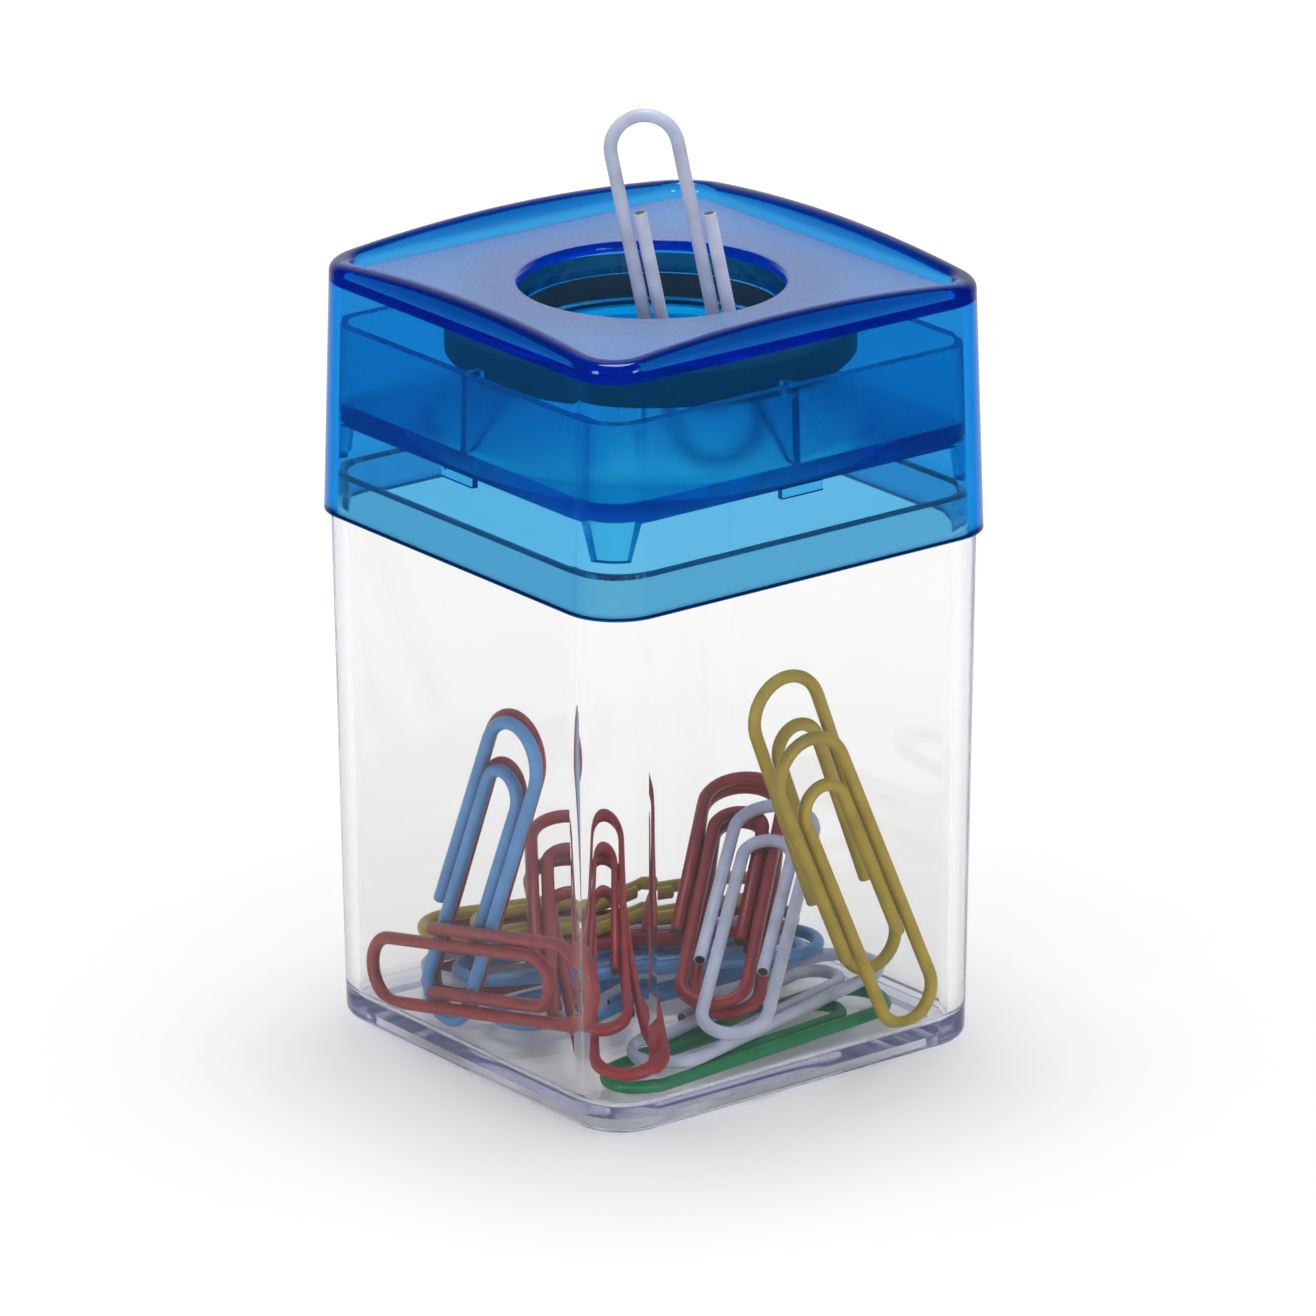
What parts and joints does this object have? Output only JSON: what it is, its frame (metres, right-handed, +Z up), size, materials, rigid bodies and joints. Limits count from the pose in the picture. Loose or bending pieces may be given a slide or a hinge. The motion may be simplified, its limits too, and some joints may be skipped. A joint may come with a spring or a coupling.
{
  "type": "magnetic paper clip holder",
  "caption": "Clear square box of paper clips with a tinted lift-off cap whose ring magnet holds clips upright in a round dispensing hole.",
  "frame": {"origin": "centre of the foot rim on the table", "axes": "+Z up through the dispensing hole; -Y is one flat side of the box"},
  "size_m": [0.0446, 0.0446, 0.0874],
  "materials": {
    "clear_polystyrene": "polished clear moulding",
    "blue_polystyrene": "polished, tinted clear moulding, frosted on the top panel",
    "ferrite": "pressed and sintered, matt",
    "red_vinyl": "vinyl coating on steel wire",
    "blue_vinyl": "vinyl coating on steel wire",
    "yellow_vinyl": "vinyl coating on steel wire",
    "white_vinyl": "vinyl coating on steel wire",
    "green_vinyl": "vinyl coating on steel wire"
  },
  "bodies": {
    "box": {"clear_box": "clear_polystyrene", "clip_blue_1": "blue_vinyl", "clip_blue_2": "blue_vinyl", "clip_blue_3": "blue_vinyl", "clip_green_1": "green_vinyl", "clip_red_1": "red_vinyl", "clip_red_2": "red_vinyl", "clip_red_3": "red_vinyl", "clip_red_4": "red_vinyl", "clip_red_5": "red_vinyl", "clip_red_6": "red_vinyl", "clip_red_7": "red_vinyl", "clip_red_8": "red_vinyl", "clip_white_1": "white_vinyl", "clip_white_2": "white_vinyl", "clip_white_3": "white_vinyl", "clip_yellow_1": "yellow_vinyl", "clip_yellow_2": "yellow_vinyl", "clip_yellow_3": "yellow_vinyl"},
    "cap": {"blue_cap": "blue_polystyrene", "ring_magnet": "ferrite", "magnet_retainer": "blue_polystyrene"},
    "standing_clip": {"clip_standing": "white_vinyl"}
  },
  "joints": [
    {"name": "cap_lift", "type": "slide", "parent": "box", "child": "cap", "axis": [0, 0, 1], "range_m": [0, 0.03]},
    {"name": "clip_pull", "type": "slide", "parent": "cap", "child": "standing_clip", "axis": [-0.1512, 0.1164, 0.9816], "range_m": [0, 0.022]}
  ]
}
